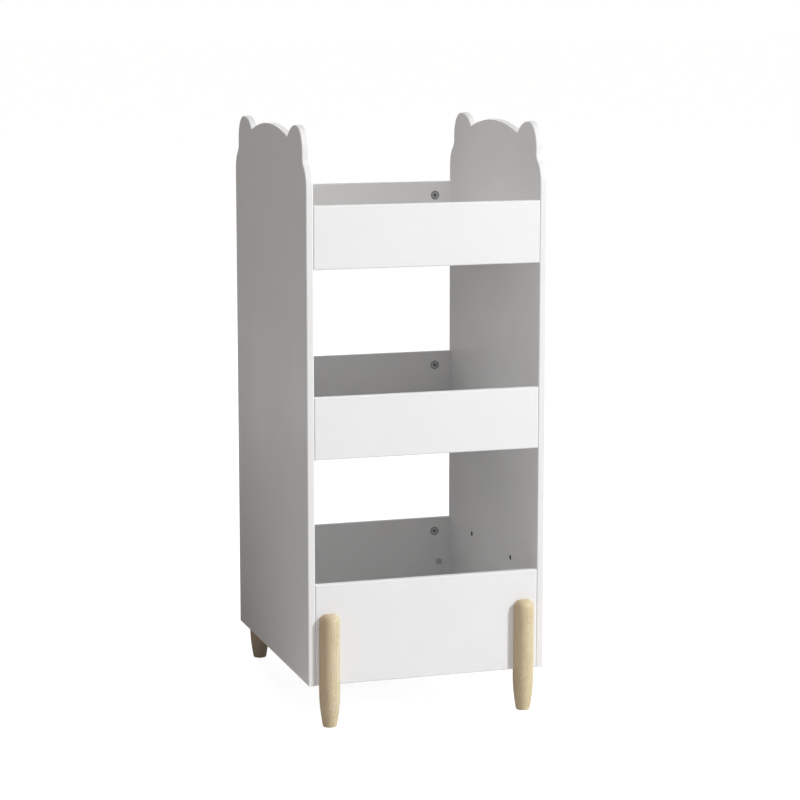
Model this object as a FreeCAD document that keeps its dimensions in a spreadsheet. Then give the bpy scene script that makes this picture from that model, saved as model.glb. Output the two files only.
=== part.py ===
import FreeCAD, Part
import math
import os
import Sketcher

# Children's bookshelf: two ear-topped side panels, three open bins and four half-lapped legs.
# X runs from the left to the right panel, Y from the front to the back and Z up.
# The origin lies on the floor, below the middle of the case. All sizes are in millimetres.

SIZES = {
    # case
    "case_width": 400,
    "case_depth": 450,
    "board_thickness": 12,
    "arris_radius": 2,
    "upper_board_height": 100,
    "bottom_board_height": 165,
    "tier_pitch": 301.5,
    # top edge of the side panels, from the top bin's upper edge upward
    "straight_rise": 29,
    "shoulder_rise": 44,
    "shoulder_radius": 41,
    "neck_inset": 22,
    "neck_length": 11,
    "ear_outer_radius": 39,
    "ear_inner_radius": 67.5,
    "valley_inset": 110,
    "valley_radius": 3,
    "crown_rise": 16.7,
    # turned legs
    "leg_diameter": 34,
    "leg_inset": 35,
    "leg_drop": 68,
    "leg_lap": 117,
    "leg_top_radius": 12,
    "foot_diameter": 22.5,
    "foot_edge_radius": 1.5,
    "foot_taper": 60,
    # cam locks and the bolts that they pull
    "cam_diameter": 15,
    "cam_height": 9.5,
    "cam_inset": 31,
    "cam_drop": 24,
    "cam_slot_width": 6.6,
    "cam_slot_reach": 2,
    "cam_roof": 2.7,
    "cross_length": 6.5,
    "cross_width": 1.5,
    "cross_depth": 1.6,
    "cam_bolt_thread": 5,
    "cam_bolt_grip": 8.5,
    "cam_bolt_collar": 6.4,
    "cam_bolt_collar_height": 1.2,
    "cam_bolt_neck": 3,
    "cam_bolt_shank_end": 22,
    "cam_bolt_head": 6,
    "cam_bolt_head_height": 3,
    "floor_cam_inset": 110,
    # dowels
    "dowel_diameter": 6,
    "dowel_grip": 8,
    "dowel_reach": 22,
    "board_dowel_drop": 64,
    "floor_dowel_inset": 60,
    "floor_edge_dowel_inset": 100,
    # leg bolts and their threaded inserts
    "leg_bolt_low": 30,
    "leg_bolt_high": 85,
    "leg_bolt_thread": 6,
    "leg_bolt_length": 22,
    "leg_bolt_head": 10.5,
    "leg_bolt_head_height": 3.3,
    "leg_bolt_socket": 4,
    "leg_bolt_socket_depth": 2,
    "insert_diameter": 9,
    "insert_length": 12,
    # two holes in the right panel, for a unit that stands beside it
    "unit_hole_diameter": 8,
    "unit_hole_spacing": 196,
    "unit_hole_height": 157.5,
    # fits
    "bore_clearance": 0.1,
    "bolt_clearance": 0.3,
    "end_clearance": 0.5,
    "cut_overrun": 2,
}

TIERS = ("bottom", "middle", "top")
HALF_TURN = 180
HEX_SIDES = 6
SAME_PLACE = 0.001
EDGE_SPOTS = 3

doc = FreeCAD.newDocument("bookshelf")
sheet = doc.addObject("Spreadsheet::Sheet", "Sizes")
for row, (alias, amount) in enumerate(SIZES.items(), start=1):
    sheet.set(f"A{row}", alias.replace("_", " "))
    sheet.set(f"B{row}", str(amount))
    sheet.setAlias(f"B{row}", alias)
doc.recompute()


class Size:
    """A length that knows its number and its formula in the sheet."""

    def __init__(self, number, text):
        self.number = number
        self.text = text

    def join(self, sign, other, number):
        return Size(number, f"({self.text} {sign} {size(other).text})")

    def __add__(self, other):
        return self.join("+", other, self.number + size(other).number)

    def __sub__(self, other):
        return self.join("-", other, self.number - size(other).number)

    def __mul__(self, other):
        return self.join("*", other, self.number * size(other).number)

    def __truediv__(self, other):
        return self.join("/", other, self.number / size(other).number)

    def __radd__(self, other):
        return size(other) + self

    def __rsub__(self, other):
        return size(other) - self

    def __rmul__(self, other):
        return size(other) * self

    def __neg__(self):
        return 0 - self

    def root(self):
        return Size(math.sqrt(self.number), f"sqrt({self.text})")


def size(amount):
    return amount if isinstance(amount, Size) else Size(float(amount), f"({amount})")


class Sheet:
    """Reads a size from the sheet by its name."""

    def __getattr__(self, alias):
        return Size(float(sheet.get(alias)), f"Sizes.{alias}")


s = Sheet()


# Binding and placing

def bind(item, prop, amount):
    item.setExpression(prop, size(amount).text)


def place(item, point, rotation=None):
    item.Placement = FreeCAD.Placement(FreeCAD.Vector(), rotation or FreeCAD.Rotation())
    for axis, amount in zip("xyz", point):
        bind(item, f"Placement.Base.{axis}", amount)


def turned(facing, toward):
    """Rotation that sends local Z to the facing direction and local X to the toward direction."""
    return FreeCAD.Rotation(toward, facing.cross(toward), facing, "ZXY")


X_AXIS = FreeCAD.Vector(1, 0, 0)
Y_AXIS = FreeCAD.Vector(0, 1, 0)
Z_AXIS = FreeCAD.Vector(0, 0, 1)
ABOUT_FACE = FreeCAD.Rotation(Z_AXIS, HALF_TURN)


# Sketches on a body's own planes

def new_body(name):
    body = doc.addObject("PartDesign::Body", name)
    body.Label = name
    return body


def new_sketch(body, name, role, level=0):
    sketch = body.newObject("Sketcher::SketchObject", f"{body.Name}_{name}")
    planes = {feature.Role: feature for feature in body.Origin.OriginFeatures}
    sketch.AttachmentSupport = [(planes[role], "")]
    sketch.MapMode = "FlatFace"
    bind(sketch, "AttachmentOffset.Base.z", level)
    return sketch


def constrain(sketch, amount, *constraint):
    index = sketch.addConstraint(Sketcher.Constraint(*constraint, amount.number))
    bind(sketch, f"Constraints[{index}]", amount)


def pin(sketch, index, position, point):
    """Holds one point of a sketch at its two sizes from the origin."""
    for kind, amount, axis in zip(("DistanceX", "DistanceY"), point, (-2, -1)):
        amount = size(amount)
        if abs(amount.number) < SAME_PLACE:
            sketch.addConstraint(Sketcher.Constraint("PointOnObject", index, position, axis))
        elif amount.number < 0:
            constrain(sketch, -amount, kind, index, position, -1, 1)
        else:
            constrain(sketch, amount, kind, -1, 1, index, position)


def vector(point):
    return FreeCAD.Vector(size(point[0]).number, size(point[1]).number, 0)


def bent_edge(start, end, radius):
    """Arc of at most half a circle: counter-clockwise for a positive radius, clockwise for a negative."""
    chord = end - start
    away = FreeCAD.Vector(-chord.y, chord.x, 0).normalize()
    rise = math.sqrt(max(radius ** 2 - (chord.Length / 2) ** 2, 0))
    centre = (start + end) / 2 + away * math.copysign(rise, radius)
    first, last = (start, end) if radius > 0 else (end, start)
    angles = [math.atan2(point.y - centre.y, point.x - centre.x) for point in (first, last)]
    return Part.ArcOfCircle(Part.Circle(centre, Z_AXIS, abs(radius)), *angles)


def outline(sketch, corners, bends=None):
    """Closed outline. A bend is the radius of the arc that starts at its corner, or None for a line."""
    bends = bends or [None] * len(corners)
    ends = []
    for index, bend in enumerate(bends):
        start = vector(corners[index])
        end = vector(corners[(index + 1) % len(corners)])
        if bend is None:
            sketch.addGeometry(Part.LineSegment(start, end))
            ends.append((1, 2))
        else:
            sketch.addGeometry(bent_edge(start, end, bend.number))
            ends.append((1, 2) if bend.number > 0 else (2, 1))
    for index, bend in enumerate(bends):
        after = (index + 1) % len(corners)
        meeting = (index, ends[index][1], after, ends[after][0])
        sketch.addConstraint(Sketcher.Constraint("Coincident", *meeting))
        pin(sketch, index, ends[index][0], corners[index])
        if bend is not None:
            constrain(sketch, bend if bend.number > 0 else -bend, "Radius", index)


def rectangle(sketch, low, high):
    outline(sketch, [low, (high[0], low[1]), high, (low[0], high[1])])


def circles(sketch, diameter, centres):
    for index, centre in enumerate(centres):
        sketch.addGeometry(Part.Circle(vector(centre), Z_AXIS, (diameter / 2).number))
        constrain(sketch, diameter / 2, "Radius", index)
        pin(sketch, index, 3, centre)


# Features

def pad(body, sketch, length, reverse=False):
    feature = body.newObject("PartDesign::Pad", f"{sketch.Name}_pad")
    feature.Profile = sketch
    bind(feature, "Length", length)
    feature.Reversed = reverse
    return feature


def cut(body, sketch, depth, reverse=False):
    feature = body.newObject("PartDesign::Pocket", f"{sketch.Name}_cut")
    feature.Profile = sketch
    bind(feature, "Length", depth)
    feature.Reversed = reverse
    return feature


def drill(body, name, role, level, diameter, depth, centres, reverse=False):
    sketch = new_sketch(body, name, role, level)
    circles(sketch, diameter, centres)
    return cut(body, sketch, depth, reverse)


def rounded(body, name, feature, radius, chosen):
    """Rounds the edges whose two ends and middle all pass the test."""
    doc.recompute()
    names = []
    for number, edge in enumerate(feature.Shape.Edges, start=1):
        if all(chosen(spot) for spot in edge.discretize(EDGE_SPOTS)):
            names.append(f"Edge{number}")
    rounding = body.newObject("PartDesign::Fillet", f"{body.Name}_{name}")
    rounding.Base = (feature, names)
    bind(rounding, "Radius", radius)
    return rounding


def same(number, amount):
    return abs(number - size(amount).number) < SAME_PLACE


# Sizes that several pieces share

inner_width = s.case_width - 2 * s.board_thickness
inner_depth = s.case_depth - 2 * s.board_thickness
mid_board = s.board_thickness / 2
cam_bore = s.cam_diameter + 2 * s.bore_clearance
cam_bore_depth = s.cam_height + s.bore_clearance
cam_bolt_bore = s.cam_bolt_collar + 2 * s.bolt_clearance
cam_bolt_hole = s.cam_bolt_thread + 2 * s.bore_clearance
cam_bolt_hole_depth = s.cam_bolt_grip + s.end_clearance
dowel_bore = s.dowel_diameter + 2 * s.bore_clearance
dowel_hole_depth = s.dowel_grip + s.end_clearance
dowel_bore_depth = s.dowel_reach + s.end_clearance
leg_bolt_bore = s.leg_bolt_thread + 2 * s.bolt_clearance
leg_bolt_heights = (s.leg_bolt_low, s.leg_bolt_high)


def board_height(tier):
    return s.bottom_board_height if tier == 0 else s.upper_board_height


def tier_level(tier):
    """Height of a bin's lower edge above the side panels' bottom edge."""
    if tier == 0:
        return size(0)
    return s.bottom_board_height + tier * s.tier_pitch - s.upper_board_height


def both_ways(inset, length):
    return (inset, length - inset)


# Side panels

def panel_outline():
    """Corners and bends of a side panel, up its front edge, along its top and down its back edge."""
    neck = s.neck_inset
    straight_height = tier_level(len(TIERS) - 1) + s.upper_board_height + s.straight_rise
    shoulder_height = straight_height + s.shoulder_rise
    neck_height = shoulder_height + s.neck_length
    notch_radius = (neck * neck + s.shoulder_rise * s.shoulder_rise) / (2 * neck) - s.shoulder_radius
    turn_share = s.shoulder_radius / (s.shoulder_radius + notch_radius)
    tip_inset = neck + s.ear_outer_radius
    tip_height = neck_height + s.ear_outer_radius
    ear_reach = s.valley_inset - tip_inset
    ear_fall = s.ear_inner_radius - (s.ear_inner_radius * s.ear_inner_radius - ear_reach * ear_reach).root()
    half_crown = s.case_depth / 2 - s.valley_inset
    crown_radius = (half_crown * half_crown + s.crown_rise * s.crown_rise) / (2 * s.crown_rise)
    front = [
        (0, straight_height),
        (turn_share * neck, straight_height + turn_share * s.shoulder_rise),
        (neck, shoulder_height),
        (neck, neck_height),
        (tip_inset, tip_height),
        (s.valley_inset, tip_height - ear_fall),
    ]
    front_bends = [-s.shoulder_radius, notch_radius, None, -s.ear_outer_radius, -s.ear_inner_radius]
    back = [(s.case_depth - inset, height) for inset, height in reversed(front)]
    corners = [(0, 0)] + front + back + [(s.case_depth, 0)]
    bends = [None] + front_bends + [-crown_radius] + front_bends[::-1] + [None, None]
    return corners, bends


def panel_bores():
    """Centres of the cam bolts' and the dowels' blind holes in a side panel's inner face."""
    bolts = []
    dowels = []
    for tier in range(len(TIERS)):
        level = tier_level(tier)
        top = level + board_height(tier)
        for depth in both_ways(mid_board, s.case_depth):
            bolts.append((depth, top - s.cam_drop))
            dowels.append((depth, top - s.board_dowel_drop))
        for depth in both_ways(s.floor_cam_inset, s.case_depth):
            bolts.append((depth, level + mid_board))
        for depth in both_ways(s.floor_dowel_inset, s.case_depth):
            dowels.append((depth, level + mid_board))
    return bolts, dowels


def side_panel(name, point, rotation, with_unit_holes):
    """Panel in the YZ plane, its outer face at x = 0 before it is placed."""
    body = new_body(name)
    sketch = new_sketch(body, "outline", "YZ_Plane")
    outline(sketch, *panel_outline())
    plate = pad(body, sketch, s.board_thickness)
    valleys = both_ways(s.valley_inset, s.case_depth)
    plate = rounded(body, "valleys", plate, s.valley_radius, lambda spot: any(same(spot.y, at) for at in valleys))
    faces = (0, s.board_thickness)
    rounded(body, "arrises", plate, s.arris_radius, lambda spot: any(same(spot.x, at) for at in faces))
    bolts, dowels = panel_bores()
    inner = s.board_thickness
    drill(body, "bolt_holes", "YZ_Plane", inner, cam_bolt_hole, cam_bolt_hole_depth, bolts)
    drill(body, "dowel_holes", "YZ_Plane", inner, dowel_bore, dowel_hole_depth, dowels)
    if with_unit_holes:
        middle = s.case_depth / 2
        half = s.unit_hole_spacing / 2
        centres = [(middle + step, s.unit_hole_height) for step in (-half, half)]
        through = s.board_thickness + s.cut_overrun
        drill(body, "unit_holes", "YZ_Plane", inner, s.unit_hole_diameter, through, centres)
    place(body, point, rotation)
    return body


# Boards and floors

def end_bores(body, bolts, dowels):
    """Bores into both ends of a board, for its cam bolts and its dowels."""
    for end, level, from_left in (("left", 0, True), ("right", inner_width, False)):
        drill(body, f"{end}_bolt_bores", "YZ_Plane", level, cam_bolt_bore, s.cam_inset, bolts, from_left)
        drill(body, f"{end}_dowel_bores", "YZ_Plane", level, dowel_bore, dowel_bore_depth, dowels, from_left)


def upright_board(name, tier, point, rotation):
    """Front or back board. Its outer face is at y = 0 before it is placed, its inner face behind."""
    body = new_body(name)
    height = board_height(tier)
    inner = s.board_thickness
    sketch = new_sketch(body, "outline", "XZ_Plane")
    rectangle(sketch, (0, 0), (inner_width, height))
    plate = pad(body, sketch, s.board_thickness, reverse=True)

    def at_arris(spot):
        return same(spot.y, 0) or (same(spot.y, inner) and same(spot.z, height))

    rounded(body, "arrises", plate, s.arris_radius, at_arris)
    cams = [(across, height - s.cam_drop) for across in both_ways(s.cam_inset, inner_width)]
    drill(body, "cam_bores", "XZ_Plane", -inner, cam_bore, cam_bore_depth, cams, reverse=True)
    ties = [(across, mid_board) for across in both_ways(s.floor_edge_dowel_inset, inner_width)]
    drill(body, "floor_dowel_holes", "XZ_Plane", -inner, dowel_bore, dowel_hole_depth, ties, reverse=True)
    end_bores(body, [(mid_board, height - s.cam_drop)], [(mid_board, height - s.board_dowel_drop)])
    if tier == 0:
        leg_places = both_ways(s.leg_inset - s.board_thickness, inner_width)
        bolts = [(across, level) for across in leg_places for level in leg_bolt_heights]
        through = s.board_thickness + s.cut_overrun
        drill(body, "leg_bolt_bores", "XZ_Plane", -inner, leg_bolt_bore, through, bolts, reverse=True)
    place(body, point, rotation)
    return body


def floor_board(name, point):
    """Floor of a bin. Its lower front left corner is at the origin before it is placed."""
    body = new_body(name)
    sketch = new_sketch(body, "outline", "XY_Plane")
    rectangle(sketch, (0, 0), (inner_width, inner_depth))
    pad(body, sketch, s.board_thickness)
    cam_depths = both_ways(s.floor_cam_inset - s.board_thickness, inner_depth)
    cams = [(across, depth) for across in both_ways(s.cam_inset, inner_width) for depth in cam_depths]
    drill(body, "cam_bores", "XY_Plane", 0, cam_bore, cam_bore_depth, cams, reverse=True)
    dowel_depths = both_ways(s.floor_dowel_inset - s.board_thickness, inner_depth)
    end_bores(body, [(depth, mid_board) for depth in cam_depths], [(depth, mid_board) for depth in dowel_depths])
    ties = [(across, mid_board) for across in both_ways(s.floor_edge_dowel_inset, inner_width)]
    drill(body, "front_dowel_bores", "XZ_Plane", 0, dowel_bore, dowel_bore_depth, ties)
    drill(body, "back_dowel_bores", "XZ_Plane", -inner_depth, dowel_bore, dowel_bore_depth, ties, reverse=True)
    place(body, point)
    return body


# Legs

def turned_leg(name, point, rotation):
    """Leg about its own axis, standing on the ground. Its lap faces +Y before it is placed."""
    body = new_body(name)
    radius = s.leg_diameter / 2
    top = s.leg_drop + s.leg_lap
    foot = s.foot_diameter / 2
    flare = radius - foot
    rise = s.foot_taper - s.foot_edge_radius
    taper_radius = (rise * rise + flare * flare) / (2 * flare)
    profile = new_sketch(body, "profile", "XZ_Plane")
    corners = [
        (0, 0),
        (foot - s.foot_edge_radius, 0),
        (foot, s.foot_edge_radius),
        (radius, s.foot_taper),
        (radius, top - s.leg_top_radius),
        (radius - s.leg_top_radius, top),
        (0, top),
    ]
    outline(profile, corners, [None, s.foot_edge_radius, taper_radius, None, s.leg_top_radius, None, None])
    turning = body.newObject("PartDesign::Revolution", f"{name}_turned")
    turning.Profile = profile
    turning.ReferenceAxis = (profile, ["V_Axis"])
    past = radius + s.cut_overrun
    lap = new_sketch(body, "lap", "XZ_Plane")
    rectangle(lap, (-past, s.leg_drop), (past, top + s.cut_overrun))
    cut(body, lap, past)
    bores = [(0, s.leg_drop + level) for level in leg_bolt_heights]
    depth = s.insert_length + s.end_clearance
    drill(body, "insert_bores", "XZ_Plane", 0, s.insert_diameter + 2 * s.bore_clearance, depth, bores, reverse=True)
    place(body, point, rotation)
    return body


# One of each kind of fitting, about its own axis. Local Z points out of the piece that it goes into.

def cylinder(name, diameter, low, high):
    item = doc.addObject("Part::Cylinder", name)
    bind(item, "Radius", diameter / 2)
    bind(item, "Height", high - low)
    place(item, (0, 0, low))
    return item


def block(name, low, high):
    item = doc.addObject("Part::Box", name)
    for side, start, end in zip(("Length", "Width", "Height"), low, high):
        bind(item, side, end - start)
    place(item, low)
    return item


def joined(name, pieces):
    item = doc.addObject("Part::MultiFuse", name)
    item.Shapes = pieces
    return item


def gathered(name, pieces):
    item = doc.addObject("Part::Compound", name)
    item.Links = pieces
    return item


def without(name, base, tool):
    item = doc.addObject("Part::Cut", name)
    item.Base = base
    item.Tool = tool
    return item


def cam_lock():
    """Its slot runs from the middle along local X and is open below."""
    disc = cylinder("cam_disc", s.cam_diameter, -s.cam_height, size(0))
    half_slot = s.cam_slot_width / 2
    slot_low = (-s.cam_slot_reach, -half_slot, -(s.cam_height + s.cut_overrun))
    slot = block("cam_slot", slot_low, (s.cam_diameter / 2 + s.cut_overrun, half_slot, -s.cam_roof))
    half_long = s.cross_length / 2
    half_wide = s.cross_width / 2
    bars = []
    for name, reach, half in (("cross_bar_x", half_long, half_wide), ("cross_bar_y", half_wide, half_long)):
        bars.append(block(name, (-reach, -half, -s.cross_depth), (reach, half, s.cut_overrun)))
    return without("cam_lock", disc, joined("cam_cuts", [slot] + bars))


def cam_bolt():
    """Threaded into the side panel below z = 0, its head in the middle of the cam lock."""
    half_head = s.cam_bolt_head_height / 2
    head_low = s.cam_inset - half_head
    return joined("cam_bolt", [
        cylinder("cam_bolt_shank", s.cam_bolt_thread, -s.cam_bolt_grip, s.cam_bolt_shank_end),
        cylinder("cam_bolt_ring", s.cam_bolt_collar, size(0), s.cam_bolt_collar_height),
        cylinder("cam_bolt_neck", s.cam_bolt_neck, size(0), head_low),
        cylinder("cam_bolt_head", s.cam_bolt_head, head_low, s.cam_inset + half_head),
    ])


def leg_bolt():
    """Button head above z = 0, with a hexagon socket."""
    socket = doc.addObject("Part::Prism", "leg_bolt_socket")
    socket.Polygon = HEX_SIDES
    bind(socket, "Circumradius", s.leg_bolt_socket / size(HEX_SIDES / 2).root())
    bind(socket, "Height", s.leg_bolt_socket_depth + s.cut_overrun)
    place(socket, (0, 0, s.leg_bolt_head_height - s.leg_bolt_socket_depth))
    solid = joined("leg_bolt_solid", [
        cylinder("leg_bolt_shank", s.leg_bolt_thread, -s.leg_bolt_length, size(0)),
        cylinder("leg_bolt_head", s.leg_bolt_head, size(0), s.leg_bolt_head_height),
    ])
    return without("leg_bolt", solid, socket)


def leg_insert():
    """Threaded sleeve, its mouth at z = 0."""
    sleeve = cylinder("insert_sleeve", s.insert_diameter, -s.insert_length, size(0))
    bore_low = -(s.insert_length + s.cut_overrun)
    bore = cylinder("insert_bore", s.leg_bolt_thread + 2 * s.bore_clearance, bore_low, s.cut_overrun)
    return without("leg_insert", sleeve, bore)


def group(name, fitting, places):
    """Separate copies of one fitting, as one node."""
    copies = []
    for number, (point, rotation) in enumerate(places, start=1):
        copy = doc.addObject("App::Link", f"{name}_{number}")
        copy.LinkedObject = fitting
        place(copy, point, rotation)
        copies.append(copy)
    return gathered(name, copies)


# Places in the case. A side is -1 for left and 1 for right, a face is -1 for front and 1 for back.

SIDES = (-1, 1)
FACES = (-1, 1)


def across_at(side, inset):
    return side * (s.case_width / 2 - inset)


def depth_at(face, inset):
    return face * (s.case_depth / 2 - inset)


def facing_turn(face):
    """Front pieces stay as they are drawn, back pieces are turned about."""
    return FreeCAD.Rotation() if face < 0 else ABOUT_FACE


def end_joints(tier, board_drop, floor_inset):
    """Points at the side panels' inner faces where one kind of fitting joins a tier's boards."""
    level = s.leg_drop + tier_level(tier)
    for side in SIDES:
        inward = turned(-side * X_AXIS, Y_AXIS)
        across = across_at(side, s.board_thickness)
        for face in FACES:
            yield (across, depth_at(face, mid_board), level + board_height(tier) - board_drop), inward
            yield (across, depth_at(face, floor_inset), level + mid_board), inward


def edge_joints(tier):
    """Points on the upright boards' inner faces where dowels join the floor."""
    level = s.leg_drop + tier_level(tier) + mid_board
    for side in SIDES:
        across = across_at(side, s.board_thickness + s.floor_edge_dowel_inset)
        for face in FACES:
            yield (across, depth_at(face, s.board_thickness), level), turned(-face * Y_AXIS, X_AXIS)


def cam_places(tier):
    """Cams in the upright boards' inner faces and in the floor's underside."""
    level = s.leg_drop + tier_level(tier)
    for side in SIDES:
        across = across_at(side, s.board_thickness + s.cam_inset)
        toward_panel = side * X_AXIS
        for face in FACES:
            height = level + board_height(tier) - s.cam_drop
            yield (across, depth_at(face, s.board_thickness), height), turned(-face * Y_AXIS, toward_panel)
            yield (across, depth_at(face, s.floor_cam_inset), level), turned(-Z_AXIS, toward_panel)


def leg_joints(face, inset):
    """Points in line with the leg bolts, at a depth inside the case's front or back plane."""
    for side in SIDES:
        for height in leg_bolt_heights:
            point = (across_at(side, s.leg_inset), depth_at(face, inset), s.leg_drop + height)
            yield point, turned(-face * Y_AXIS, X_AXIS)


# The bookshelf

nodes = []
left, right = SIDES
front, back = FACES
nodes.append(side_panel(
    "side_panel_left", (across_at(left, 0), depth_at(front, 0), s.leg_drop), FreeCAD.Rotation(), False))
nodes.append(side_panel(
    "side_panel_right", (across_at(right, 0), depth_at(back, 0), s.leg_drop), ABOUT_FACE, True))

cam = cam_lock()
bolt = cam_bolt()
dowel = gathered("dowel", [cylinder("dowel_pin", s.dowel_diameter, -s.dowel_grip, s.dowel_reach)])
for tier, tier_name in enumerate(TIERS):
    level = s.leg_drop + tier_level(tier)
    for face, face_name in zip(FACES, ("front", "back")):
        corner = (across_at(face, s.board_thickness), depth_at(face, 0), level)
        nodes.append(upright_board(f"{face_name}_board_{tier_name}", tier, corner, facing_turn(face)))
    corner = (across_at(left, s.board_thickness), depth_at(front, s.board_thickness), level)
    nodes.append(floor_board(f"floor_board_{tier_name}", corner))
    nodes.append(group(f"cam_locks_{tier_name}", cam, cam_places(tier)))
    nodes.append(group(f"cam_bolts_{tier_name}", bolt, end_joints(tier, s.cam_drop, s.floor_cam_inset)))
    dowel_places = [*end_joints(tier, s.board_dowel_drop, s.floor_dowel_inset), *edge_joints(tier)]
    nodes.append(group(f"dowels_{tier_name}", dowel, dowel_places))

screw = leg_bolt()
insert = leg_insert()
for face, face_name in zip(FACES, ("front", "rear")):
    for side, side_name in zip(SIDES, ("left", "right")):
        foot_point = (across_at(side, s.leg_inset), depth_at(face, 0), size(0))
        nodes.append(turned_leg(f"{face_name}_leg_{side_name}", foot_point, facing_turn(face)))
    nodes.append(group(f"{face_name}_leg_bolts", screw, leg_joints(face, s.board_thickness)))
    nodes.append(group(f"{face_name}_leg_inserts", insert, leg_joints(face, 0)))

doc.recompute()

# Checks, then one file for each node

for item in doc.Objects:
    if "Invalid" in item.State or "Error" in item.State:
        raise RuntimeError(f"{item.Name} did not build: {item.State}")
    if item.TypeId == "PartDesign::Pocket":
        removed = item.BaseFeature.Shape.Volume - item.Shape.Volume
        if removed <= 0:
            raise RuntimeError(f"{item.Name} cuts nothing")
for node in nodes:
    if node.Shape.isNull() or not node.Shape.isValid():
        raise RuntimeError(f"{node.Label} has no sound shape")

os.makedirs("parts", exist_ok=True)
for node in nodes:
    node.Shape.exportStep(f"parts/{node.Label}.step")
print(f"{len(nodes)} nodes")
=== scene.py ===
import math

import bpy
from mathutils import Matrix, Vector


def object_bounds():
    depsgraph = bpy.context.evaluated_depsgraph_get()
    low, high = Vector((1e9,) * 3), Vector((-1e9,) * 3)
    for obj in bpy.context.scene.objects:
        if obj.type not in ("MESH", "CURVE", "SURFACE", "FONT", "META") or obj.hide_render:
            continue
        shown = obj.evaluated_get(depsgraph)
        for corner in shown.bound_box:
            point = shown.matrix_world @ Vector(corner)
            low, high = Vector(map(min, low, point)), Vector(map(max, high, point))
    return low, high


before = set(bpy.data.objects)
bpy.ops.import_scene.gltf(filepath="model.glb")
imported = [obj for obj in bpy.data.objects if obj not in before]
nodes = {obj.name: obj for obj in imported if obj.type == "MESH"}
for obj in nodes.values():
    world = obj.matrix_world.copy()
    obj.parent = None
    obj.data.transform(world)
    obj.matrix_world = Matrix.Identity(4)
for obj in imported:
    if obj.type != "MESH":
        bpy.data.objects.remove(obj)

# Looks of the bookshelf: white satin paint, pale turned legs, and zinc, steel and brass fittings.
# Metres throughout. X runs left to right, Y front to back, Z up, with the floor at 0.

cad_low, cad_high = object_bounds()

TIERS = ("bottom", "middle", "top")

# Places on the object that a finish follows.
CASE_HALF_WIDTH = 0.2
UNIT_HOLE_RADIUS = 0.004
UNIT_HOLE_DEPTH = 0.098  # either side of the case's middle, front to back
UNIT_HOLE_HEIGHT = 0.2255
CAM_ACROSS = 0.157  # either side of the case's middle, left to right
CAM_DEPTH_IN_FLOOR = 0.115  # either side of the case's middle, front to back
CAM_HEIGHTS = {"bottom": 0.209, "middle": 0.5105, "top": 0.812}  # in the upright boards


# Node trees

class Tree:
    """Adds nodes to a material or an effect and joins them.

    A value is a number, a colour or another node's socket.
    """

    def __init__(self, tree):
        self.tree = tree

    def feed(self, socket, value):
        if isinstance(value, bpy.types.NodeSocket):
            self.tree.links.new(value, socket)
        else:
            socket.default_value = value

    def feed_in_order(self, node, values):
        for socket, value in zip(node.inputs, values):
            self.feed(socket, value)

    def feed_by_name(self, node, values):
        for name, value in values.items():
            self.feed(node.inputs[name.replace("_", " ")], value)

    def add(self, kind, settings=None, **values):
        node = self.tree.nodes.new(kind)
        for name, value in (settings or {}).items():
            setattr(node, name, value)
        self.feed_by_name(node, values)
        return node

    def calc(self, operation, *values):
        node = self.add("ShaderNodeMath", {"operation": operation})
        self.feed_in_order(node, values)
        return node.outputs[0]

    def vector(self, operation, *values):
        node = self.add("ShaderNodeVectorMath", {"operation": operation})
        self.feed_in_order(node, values)
        return node.outputs["Value" if operation in ("DOT_PRODUCT", "LENGTH") else "Vector"]

    def ramp(self, value, low, high, new_low, new_high, kind):
        node = self.add("ShaderNodeMapRange", {"interpolation_type": kind}, Value=value)
        names = ("From Min", "From Max", "To Min", "To Max")
        self.feed_by_name(node, dict(zip(names, (low, high, new_low, new_high))))
        return node.outputs["Result"]

    def ease(self, value, low, high, new_low=0.0, new_high=1.0):
        """A soft step between two values."""
        return self.ramp(value, low, high, new_low, new_high, "SMOOTHSTEP")

    def scale(self, value, low, high, new_low, new_high):
        """An even slope between two values, held beyond them."""
        return self.ramp(value, low, high, new_low, new_high, "LINEAR")

    def blend(self, share, first, second):
        node = self.add("ShaderNodeMix", {"data_type": "RGBA"})
        for index, value in ((0, share), (6, first), (7, second)):
            self.feed(node.inputs[index], value)
        return node.outputs[2]

    def mix_shaders(self, share, first, second):
        node = self.add("ShaderNodeMixShader")
        self.feed_in_order(node, (share, first, second))
        return node.outputs[0]

    def noise(self, place, scale, detail=2.0, roughness=0.5):
        node = self.add(
            "ShaderNodeTexNoise", Vector=place, Scale=scale, Detail=detail, Roughness=roughness)
        return node.outputs["Fac"]

    def place(self):
        return self.add("ShaderNodeTexCoord").outputs["Object"]

    def axes(self, place):
        return self.add("ShaderNodeSeparateXYZ", Vector=place).outputs

    def camera_ray(self):
        return self.add("ShaderNodeLightPath").outputs["Is Camera Ray"]

    def effect(self, group, **values):
        node = self.add("ShaderNodeGroup", {"node_tree": group})
        self.feed_by_name(node, values)
        return node.outputs


def new_effect(name, inputs, outputs):
    """An effect that finishes share. Inputs are name, kind and first value, outputs are names."""
    group = bpy.data.node_groups.new(name, "ShaderNodeTree")
    for label, kind, value in inputs:
        socket = group.interface.new_socket(label, in_out="INPUT", socket_type=f"NodeSocket{kind}")
        socket.default_value = value
    for label in outputs:
        group.interface.new_socket(label, in_out="OUTPUT", socket_type="NodeSocketFloat")
    given = group.nodes.new("NodeGroupInput").outputs
    result = group.nodes.new("NodeGroupOutput").inputs
    return group, Tree(group), given, result


# Effects

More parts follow.
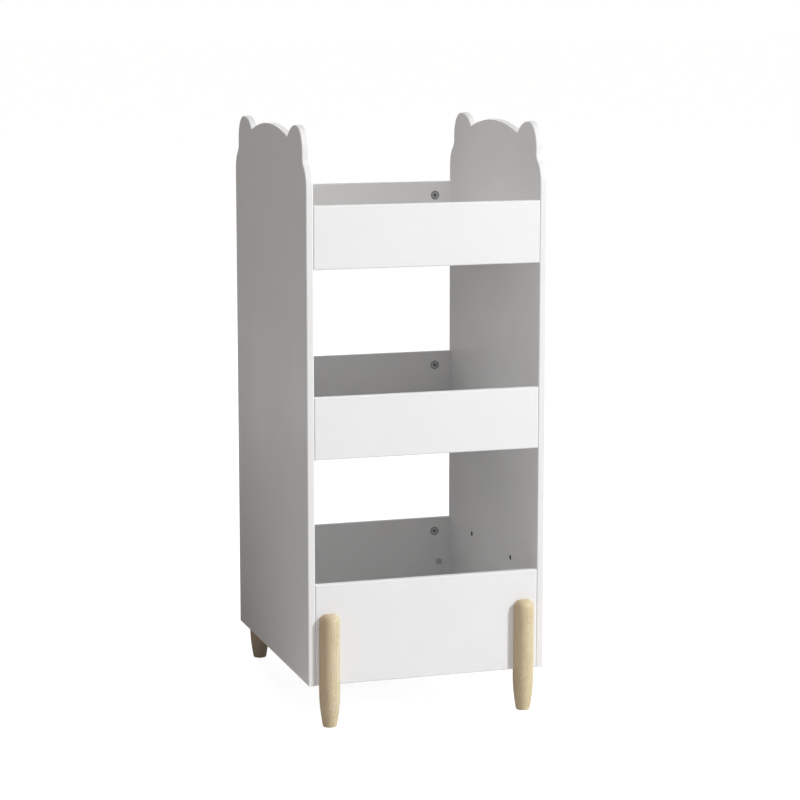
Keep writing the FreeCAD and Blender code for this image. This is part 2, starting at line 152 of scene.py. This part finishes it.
def lacquer_skin():
    """Sprayed coat: the dimpled skin, and faint cloudy patches where it is a little duller."""
    group, tree, given, result = new_effect(
        "Lacquer skin",
        [("Dimples per metre", "Float", 420.0), ("Cloud per metre", "Float", 9.0)],
        ["Dimples", "Clouds"],
    )
    place = tree.place()
    dimples = tree.noise(place, given["Dimples per metre"], 1.5, 0.45)
    nibs = tree.ease(tree.noise(place, 2600.0, 0.0), 0.78, 0.9, 0.0, 0.5)
    tree.feed(result["Dimples"], tree.calc("ADD", dimples, nibs))
    clouds = tree.noise(place, given["Cloud per metre"], 3.0, 0.55)
    tree.feed(result["Clouds"], tree.ease(clouds, 0.35, 0.65))
    return group


def board_edges():
    """A board's sawn edges, found from the way that its faces point, and the fibres on them."""
    group, tree, given, result = new_effect(
        "Board edges",
        [("Face direction", "Vector", (1.0, 0.0, 0.0))],
        ["Sawn edge", "Fibre"],
    )
    normal = tree.add("ShaderNodeNewGeometry").outputs["Normal"]
    lean = tree.vector("DOT_PRODUCT", normal, given["Face direction"])
    square = tree.calc("MULTIPLY", lean, lean)
    tree.feed(result["Sawn edge"], tree.ease(square, 0.35, 0.02))
    tree.feed(result["Fibre"], tree.noise(tree.place(), 1500.0, 3.0, 0.7))
    return group


def turned_grain():
    """Wood in the round.

    Growth rings about the pith, a soft tone along it, short rays, flecks in places, and pores.
    """
    group, tree, given, result = new_effect(
        "Turned grain",
        [
            ("Pith", "Vector", (0.0, 0.0, 0.0)),
            ("Lean", "Vector", (0.0, 0.0, 0.0)),
            ("Rings per metre", "Float", 330.0),
        ],
        ["Rings", "Heart", "Tone", "Pores", "Rays", "Relief"],
    )
    place = tree.vector("SUBTRACT", tree.place(), given["Pith"])
    height = tree.axes(place)["Z"]
    drift = tree.add(
        "ShaderNodeVectorMath", {"operation": "SCALE"}, Vector=given["Lean"], Scale=height)
    place = tree.vector("SUBTRACT", place, drift.outputs["Vector"])

    # Rings: each darkens slowly and ends sharply, and some are fainter than others.
    radius = tree.vector("LENGTH", tree.vector("MULTIPLY", place, (1.0, 1.0, 0.0)))
    wander = tree.noise(tree.vector("MULTIPLY", place, (22.0, 22.0, 5.0)), 1.0)
    turns = tree.calc("MULTIPLY", radius, given["Rings per metre"])
    turns = tree.calc("ADD", turns, tree.calc("MULTIPLY", wander, 3.4))
    phase = tree.calc("FRACT", turns)
    late_wood = tree.ease(phase, 0.35, 0.94)
    early_wood = tree.ease(phase, 0.94, 1.0, 1.0, 0.0)
    rings = tree.calc("MULTIPLY", late_wood, early_wood)
    uneven_step = 0.618
    strength = tree.calc("MULTIPLY", tree.calc("FLOOR", turns), uneven_step)
    strength = tree.calc("FRACT", strength)
    rings = tree.calc("MULTIPLY", rings, tree.scale(strength, 0.0, 1.0, 0.35, 1.0))
    tree.feed(result["Rings"], rings)
    edge = tree.calc("ADD", radius, tree.calc("MULTIPLY", wander, 0.014))
    tree.feed(result["Heart"], tree.ease(edge, 0.07, 0.046))

    def along(scale, stretch, detail=1.0, roughness=0.5):
        stretched = tree.vector("MULTIPLY", place, (1.0, 1.0, stretch))
        return tree.noise(stretched, scale, detail, roughness)

    fibres = along(620.0, 0.012, 4.0, 0.65)
    patches = along(105.0, 0.45, 2.0)
    tone = tree.calc("ADD", tree.calc("MULTIPLY", fibres, 0.6), tree.calc("MULTIPLY", patches, 0.4))
    tree.feed(result["Tone"], tone)
    pores = tree.ease(along(2300.0, 0.045), 0.66, 0.78)
    tree.feed(result["Pores"], pores)
    rays = tree.ease(along(900.0, 0.16), 0.68, 0.8)
    flecks = tree.ease(along(330.0, 0.45), 0.5, 0.64)
    figured = tree.ease(along(38.0, 0.55), 0.46, 0.6)
    flecks = tree.calc("MULTIPLY", flecks, figured)
    tree.feed(result["Rays"], tree.calc("MAXIMUM", rays, flecks))
    tree.feed(result["Relief"], tree.calc("SUBTRACT", fibres, pores))
    return group


def metal_skin():
    """Small castings and plated screws: fine grain and cloudy plating."""
    group, tree, given, result = new_effect(
        "Metal skin",
        [("Grain per metre", "Float", 3000.0), ("Cloud per metre", "Float", 260.0)],
        ["Grain", "Clouds"],
    )
    place = tree.place()
    tree.feed(result["Grain"], tree.noise(place, given["Grain per metre"], 3.0, 0.6))
    clouds = tree.noise(place, given["Cloud per metre"], 3.0, 0.6)
    tree.feed(result["Clouds"], tree.ease(clouds, 0.3, 0.7))
    return group


LACQUER = lacquer_skin()
EDGES = board_edges()
GRAIN = turned_grain()
METAL = metal_skin()


# Finishes

def new_finish(name, **values):
    """A material with one shader, whose even values are set on the shader itself."""
    finish = bpy.data.materials.new(name)
    finish.use_nodes = True
    tree = Tree(finish.node_tree)
    shader = finish.node_tree.nodes["Principled BSDF"]
    tree.feed_by_name(shader, values)
    return finish, tree, shader


# Depths of fine relief.
PAINT_RELIEF = 0.00006
WOOD_RELIEF = 0.00005
CASTING_RELIEF = 0.00004
PLATING_RELIEF = 0.00001


def relief(tree, shader, height, depth):
    bump = tree.add("ShaderNodeBump", Height=height, Distance=depth, Strength=1.0)
    tree.feed(shader.inputs["Normal"], bump.outputs["Normal"])


WHITE = (0.86, 0.86, 0.86, 1.0)
WHITE_SHADE = (0.848, 0.846, 0.842, 1.0)
EDGE_WHITE = (0.82, 0.817, 0.81, 1.0)
# The fibreboard's brown core, darkened nearly to black as painted shade inside the bores.
CORE_DARKENED_BY_PAINTED_SHADE = (0.05, 0.037, 0.027, 1.0)
CORE_CRUMB_DARKENED_BY_PAINTED_SHADE = (0.09, 0.065, 0.043, 1.0)
PAINT_ROUGHNESS = (0.4, 0.48)
EDGE_ROUGHER_BY = 0.1
CORE_ROUGHER_BY = 0.4


def painted_board(name, face_direction, bare_bores=()):
    """White satin paint on fibreboard.

    Bare bores are (centre, along, radius): their walls show the brown core, darkened nearly to
    black by painted shade.
    """
    finish, tree, shader = new_finish(name, IOR=1.46)
    skin = tree.effect(LACQUER)
    edges = tree.effect(EDGES, Face_direction=face_direction)
    fibre = tree.calc("MULTIPLY", edges["Sawn edge"], edges["Fibre"])
    colour = tree.blend(skin["Clouds"], WHITE, WHITE_SHADE)
    colour = tree.blend(fibre, colour, EDGE_WHITE)
    rough = tree.scale(skin["Clouds"], 0.0, 1.0, *PAINT_ROUGHNESS)
    rough = tree.calc("ADD", rough, tree.calc("MULTIPLY", edges["Sawn edge"], EDGE_ROUGHER_BY))
    for centre, along, radius in bare_bores:
        offset = tree.vector("SUBTRACT", tree.place(), centre)
        across = tree.vector("MULTIPLY", offset, [1.0 - abs(part) for part in along])
        away = tree.vector("LENGTH", across)
        inside = tree.scale(away, radius + 0.00012, radius + 0.00008, 0.0, 1.0)
        colour = tree.blend(inside, colour, tree.blend(edges["Fibre"], CORE_DARKENED_BY_PAINTED_SHADE, CORE_CRUMB_DARKENED_BY_PAINTED_SHADE))
        rough = tree.calc("ADD", rough, tree.calc("MULTIPLY", inside, CORE_ROUGHER_BY))
    tree.feed(shader.inputs["Base Color"], colour)
    tree.feed(shader.inputs["Roughness"], rough)
    height = tree.calc("ADD", skin["Dimples"], tree.calc("MULTIPLY", fibre, 0.8))
    relief(tree, shader, height, PAINT_RELIEF)
    return finish


# How strongly rings, rays and pores colour the wood.
RING_SHARE = 0.38
RAY_SHARE = 0.5
PORE_SHARE = 0.5


def turned_wood(name, pith, lean, rings, pale, deep, heart, streak, coat):
    """Pale hardwood, redder towards its heart, clear lacquered where coat is above nothing."""
    finish, tree, shader = new_finish(name, IOR=1.48, Coat_Weight=coat, Coat_Roughness=0.35)
    grain = tree.effect(GRAIN, Pith=pith, Lean=lean, Rings_per_metre=rings)
    pore_colour = [part * 0.55 for part in streak[:3]] + [1.0]
    colour = tree.blend(tree.ease(grain["Tone"], 0.4, 0.6), pale, deep)
    colour = tree.blend(grain["Heart"], colour, heart)
    colour = tree.blend(tree.calc("MULTIPLY", grain["Rings"], RING_SHARE), colour, streak)
    colour = tree.blend(tree.calc("MULTIPLY", grain["Rays"], RAY_SHARE), colour, streak)
    colour = tree.blend(tree.calc("MULTIPLY", grain["Pores"], PORE_SHARE), colour, pore_colour)
    tree.feed(shader.inputs["Base Color"], colour)
    tree.feed(shader.inputs["Roughness"], tree.scale(grain["Tone"], 0.36, 0.64, 0.46, 0.58))
    relief(tree, shader, grain["Relief"], WOOD_RELIEF)
    return finish


# Colour of the painted shade on the cam locks' rims and crosses.
PAINTED_SHADE_DARK = (0.07, 0.07, 0.07, 1.0)


def small_metal(name, bright, dull, roughness, depth, painted_shade=None):
    """Metal with cloudy plating. Where given, the last argument, called with the tree, says how far
    painted shade darkens each place.
    """
    finish, tree, shader = new_finish(name, Metallic=1.0)
    skin = tree.effect(METAL)
    colour = tree.blend(skin["Clouds"], bright, dull)
    if painted_shade:
        colour = tree.blend(painted_shade(tree), colour, PAINTED_SHADE_DARK)
    tree.feed(shader.inputs["Base Color"], colour)
    tree.feed(shader.inputs["Roughness"], tree.scale(skin["Clouds"], 0.0, 1.0, *roughness))
    relief(tree, shader, skin["Grain"], depth)
    return finish


CAST_BRIGHT = (0.58, 0.59, 0.6, 1.0)
CAST_DULL = (0.44, 0.45, 0.46, 1.0)
# Distances from a cam lock's middle, from bright to dark: painted shade in the gap round the rim
# and in the recessed cross.
CAM_RIM = (0.0058, 0.0068)
CAM_CROSS = (0.0034, 0.0018)
CAM_SHADE_DARKEST = 0.75


def cast_zinc(name, cam_height):
    """Dull casting, with painted shade darkening the gap at a cam lock's rim and the recessed cross
    for the driver.
    """

    def shade_in_rims_and_crosses(tree):
        place = tree.axes(tree.place())
        across = tree.calc("SUBTRACT", tree.calc("ABSOLUTE", place["X"]), CAM_ACROSS)

        def radius(value, centre):
            other = tree.calc("SUBTRACT", value, centre)
            squares = [tree.calc("MULTIPLY", part, part) for part in (across, other)]
            return tree.calc("SQRT", tree.calc("ADD", *squares))

        in_upright = radius(place["Z"], cam_height)
        in_floor = radius(tree.calc("ABSOLUTE", place["Y"]), CAM_DEPTH_IN_FLOOR)
        away = tree.calc("MINIMUM", in_upright, in_floor)
        rim, cross = tree.ease(away, *CAM_RIM), tree.ease(away, *CAM_CROSS)
        return tree.calc("MULTIPLY", tree.calc("MAXIMUM", rim, cross), CAM_SHADE_DARKEST)

    return small_metal(name, CAST_BRIGHT, CAST_DULL, (0.38, 0.55), CASTING_RELIEF, shade_in_rims_and_crosses)


def dress(name, finish):
    data = nodes[name].data
    data.materials.clear()
    data.materials.append(finish)


ACROSS, DEEP, UP = (1.0, 0.0, 0.0), (0.0, 1.0, 0.0), (0.0, 0.0, 1.0)
unit_holes = [
    ((CASE_HALF_WIDTH, side * UNIT_HOLE_DEPTH, UNIT_HOLE_HEIGHT), ACROSS, UNIT_HOLE_RADIUS)
    for side in (-1, 1)
]
dress("side_panel_left", painted_board("White paint on side panel", ACROSS))
dress("side_panel_right", painted_board("White paint on bored side panel", ACROSS, unit_holes))
upright_paint = painted_board("White paint on upright board", DEEP)
floor_paint = painted_board("White paint on floor", UP)
for tier in TIERS:
    dress(f"front_board_{tier}", upright_paint)
    dress(f"back_board_{tier}", upright_paint)
    dress(f"floor_board_{tier}", floor_paint)

PALE = (0.7, 0.615, 0.415, 1.0)
HONEY = (0.63, 0.535, 0.345, 1.0)
STRAW = (0.695, 0.597, 0.38, 1.0)
AMBER = (0.625, 0.52, 0.315, 1.0)
# Greyer, less yellow copies of the wood colours for the rear left leg, which stands in the shade
# under the case: a painted shade tint on the same beech.
PALE_WITH_SHADE_TINT = (0.71, 0.635, 0.47, 1.0)
HONEY_WITH_SHADE_TINT = (0.64, 0.56, 0.41, 1.0)
HEART = (0.6, 0.46, 0.3, 1.0)
HEART_WITH_SHADE_TINT = (0.63, 0.51, 0.38, 1.0)
STREAK = (0.5, 0.385, 0.235, 1.0)
LEG_COAT = 0.05
# Each leg is cut from its own billet: pith, lean of the pith, rings per metre, pale, deep, heart.
LEG_WOOD = {
    # The front legs' piths sit to their left, so their darker, redder heart wood lies on their
    # shaded left sides: real heartwood, placed there as painted shade.
    "front_leg_left": ((-0.21, -0.212, 0.0), (0.01, 0.02, 0.0), 300.0, PALE, HONEY, HEART),
    "front_leg_right": ((0.118, -0.206, 0.0), (-0.01, 0.01, 0.0), 340.0, STRAW, AMBER, HEART),
    "rear_leg_left": ((-0.196, 0.187, 0.0), (0.015, -0.01, 0.0), 310.0, PALE_WITH_SHADE_TINT, HONEY_WITH_SHADE_TINT, HEART_WITH_SHADE_TINT),
    "rear_leg_right": ((0.197, 0.191, 0.0), (-0.01, -0.02, 0.0), 350.0, PALE, HONEY, HEART),
}
for leg, wood in LEG_WOOD.items():
    words = leg.replace("_", " ")
    dress(leg, turned_wood(f"Lacquered beech of {words}", *wood, STREAK, LEG_COAT))

dowel_wood = turned_wood(
    "Bare beech of dowels",
    pith=(0.31, 0.02, 0.11),
    lean=(0.0, 0.0, 0.0),
    rings=420.0,
    pale=(0.74, 0.6, 0.42, 1.0),
    deep=(0.64, 0.49, 0.32, 1.0),
    heart=(0.66, 0.48, 0.33, 1.0),
    streak=(0.5, 0.35, 0.21, 1.0),
    coat=0.0,
)
steel = small_metal(
    "Zinc plated steel",
    bright=(0.66, 0.67, 0.68, 1.0),
    dull=(0.5, 0.5, 0.49, 1.0),
    roughness=(0.22, 0.36),
    depth=PLATING_RELIEF,
)
brass = small_metal(
    "Plain brass",
    bright=(0.78, 0.6, 0.29, 1.0),
    dull=(0.6, 0.44, 0.19, 1.0),
    roughness=(0.25, 0.4),
    depth=PLATING_RELIEF,
)
for tier in TIERS:
    dress(f"cam_locks_{tier}", cast_zinc(f"Cast zinc of {tier} cam locks", CAM_HEIGHTS[tier]))
    dress(f"cam_bolts_{tier}", steel)
    dress(f"dowels_{tier}", dowel_wood)
for end in ("front", "rear"):
    dress(f"{end}_leg_bolts", steel)
    dress(f"{end}_leg_inserts", brass)


# Floor, light and camera

PLAIN_WHITE = (1.0, 1.0, 1.0, 1.0)
FLOOR_REACH = 60.0
FLOOR_WHITE = (0.8, 0.79, 0.78, 1.0)
FLOOR_SEEN_GREY = (0.3, 0.3, 0.3, 1.0)
FLOOR_SEEN_GLOW = 0.92
PATCH_MIDDLE = (-0.5, 1.15, 0.0)
PATCH_DULL_WITHIN, PATCH_ENDS_AT = 0.78, 1.38
# Painted shade: the grey of the floor patch behind the shelf, seen only by bounced light.
PAINTED_FLOOR_SHADE = (0.06, 0.06, 0.06, 1.0)


def pale_floor():
    """Wide pale floor, seen nearly white: only the places close below the legs look darker.

    The grey patch of it behind the shelf is painted shade standing in for shaded floor there: it
    throws back less light, so the left panel dims towards its lower back corner and the lower bins
    dim inside. From below the floor is clear, so the undersides can be looked at.
    """
    mesh = bpy.data.meshes.new("floor")
    corners = ((-1, -1), (1, -1), (1, 1), (-1, 1))
    corners = [(x * FLOOR_REACH, y * FLOOR_REACH, 0.0) for x, y in corners]
    mesh.from_pydata(corners, [], [(0, 1, 2, 3)])
    floor = bpy.data.objects.new("floor", mesh)
    bpy.context.scene.collection.objects.link(floor)
    finish = bpy.data.materials.new("Pale floor")
    finish.use_nodes = True
    tree = Tree(finish.node_tree)
    finish.node_tree.nodes.remove(finish.node_tree.nodes["Principled BSDF"])

    seen = tree.camera_ray()
    glow = tree.add("ShaderNodeEmission", Color=PLAIN_WHITE, Strength=FLOOR_SEEN_GLOW)
    shade = tree.add("ShaderNodeBsdfDiffuse", Color=FLOOR_SEEN_GREY)
    bright = tree.add("ShaderNodeAddShader")
    tree.feed_in_order(bright, (glow.outputs[0], shade.outputs[0]))

    away = tree.vector("LENGTH", tree.vector("SUBTRACT", tree.place(), PATCH_MIDDLE))
    beyond = tree.ease(away, PATCH_DULL_WITHIN, PATCH_ENDS_AT)
    thrown = tree.add("ShaderNodeBsdfDiffuse", Color=tree.blend(beyond, PAINTED_FLOOR_SHADE, FLOOR_WHITE))
    surface = tree.mix_shaders(seen, thrown.outputs[0], bright.outputs[0])

    from_below = tree.add("ShaderNodeNewGeometry").outputs["Backfacing"]
    clear = tree.add("ShaderNodeBsdfTransparent").outputs[0]
    surface = tree.mix_shaders(tree.calc("MULTIPLY", seen, from_below), surface, clear)
    tree.feed(finish.node_tree.nodes["Material Output"].inputs["Surface"], surface)
    mesh.materials.append(finish)


def studio_air(strength, colour):
    """Even light from all round. The eye sees plain white behind."""
    world = bpy.data.worlds.new("studio")
    bpy.context.scene.world = world
    world.use_nodes = True
    tree = Tree(world.node_tree)
    shown = world.node_tree.nodes["Background"]
    tree.feed_by_name(shown, {"Color": PLAIN_WHITE, "Strength": 1.0})
    lit = tree.add("ShaderNodeBackground", Color=colour, Strength=strength)
    mixed = tree.mix_shaders(tree.camera_ray(), lit.outputs[0], shown.outputs[0])
    tree.feed(world.node_tree.nodes["World Output"].inputs["Surface"], mixed)


def softbox(name, azimuth, elevation, distance, width, brightness, colour):
    """Square light that faces the middle of the object.

    Azimuth is in degrees from the front towards the right. Brightness is what a white card at
    the middle would send back.
    """
    turn, rise = math.radians(azimuth), math.radians(elevation)
    level = math.cos(rise)
    back = Vector((math.sin(turn) * level, -math.cos(turn) * level, math.sin(rise)))
    lamp = bpy.data.lights.new(name, "AREA")
    lamp.shape = "SQUARE"
    lamp.size = width
    lamp.color = colour
    lamp.energy = brightness * math.pi * math.pi * distance ** 2
    light = bpy.data.objects.new(name, lamp)
    light.location = (cad_low + cad_high) / 2 + back * distance
    light.rotation_mode = "QUATERNION"
    light.rotation_quaternion = back.to_track_quat("Z", "Y")
    bpy.context.scene.collection.objects.link(light)


pale_floor()
studio_air(0.26, (1.05, 0.995, 0.95, 1.0))
NEUTRAL = (1.0, 1.0, 1.0)
softbox(
    "key", azimuth=50.0, elevation=21.0, distance=6.5, width=0.65, brightness=0.775,
    colour=(0.975, 1.0, 1.03))
softbox(
    "back fill", azimuth=182.0, elevation=25.0, distance=4.5, width=1.6, brightness=0.3,
    colour=NEUTRAL)
softbox(
    "overhead", azimuth=0.0, elevation=68.0, distance=3.5, width=1.5, brightness=0.23,
    colour=NEUTRAL)

SENSOR_MM, LENS_MM = 36.0, 112.55
CAMERA_PLACE = (-1.2317, -3.9604, 1.1586)
TURNED_RIGHT, TIPPED_DOWN = 17.6, 9.188  # degrees, from square on and level

lens = bpy.data.cameras.new("camera")
lens.sensor_width = SENSOR_MM
lens.lens = LENS_MM
lens.clip_end = 200.0
camera = bpy.data.objects.new("camera", lens)
camera.location = CAMERA_PLACE
camera.rotation_euler = (math.radians(90.0 - TIPPED_DOWN), 0.0, math.radians(-TURNED_RIGHT))
bpy.context.scene.collection.objects.link(camera)
bpy.context.scene.camera = camera
bpy.context.scene.view_settings.view_transform = "Standard"
